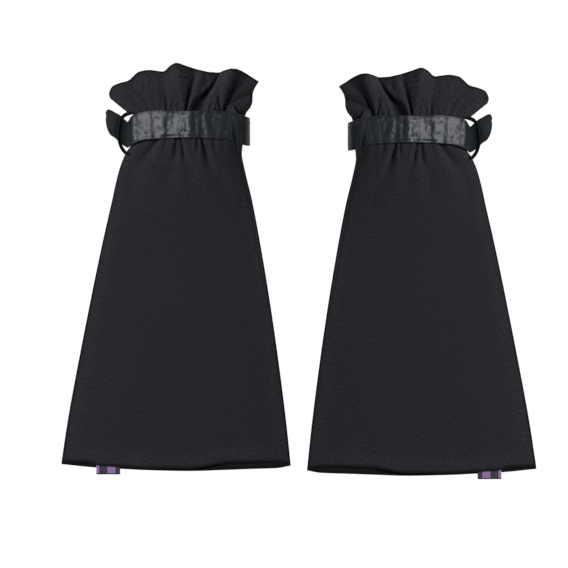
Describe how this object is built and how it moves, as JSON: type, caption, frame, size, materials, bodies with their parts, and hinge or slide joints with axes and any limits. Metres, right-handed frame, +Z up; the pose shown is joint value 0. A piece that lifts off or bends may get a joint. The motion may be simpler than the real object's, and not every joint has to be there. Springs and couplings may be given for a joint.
{
  "type": "pair of leg warmers",
  "caption": "Pair of flared cloth leg warmers laid flat, with a gathered neck, a ruffle header, a strap in carriers and a hem tab.",
  "frame": {"origin": "on the surface that the pair lies on, under the middle of the pair's box", "axes": "+X across the pair, +Y from the hems to the ruffles, +Z up from the surface"},
  "size_m": [0.4986, 0.4356, 0.0294],
  "materials": {
    "cloth": "matte black woven cotton twill",
    "strap": "semi-gloss black faux leather",
    "tab": "woven ribbon, purple and black check"
  },
  "bodies": {
    "root": {"left_front": "cloth", "left_back": "cloth", "left_strap": "strap", "left_inner_carrier": "cloth", "left_outer_carrier": "cloth", "left_tab": "tab", "right_front": "cloth", "right_back": "cloth", "right_strap": "strap", "right_inner_carrier": "cloth", "right_outer_carrier": "cloth", "right_tab": "tab"}
  },
  "joints": []
}
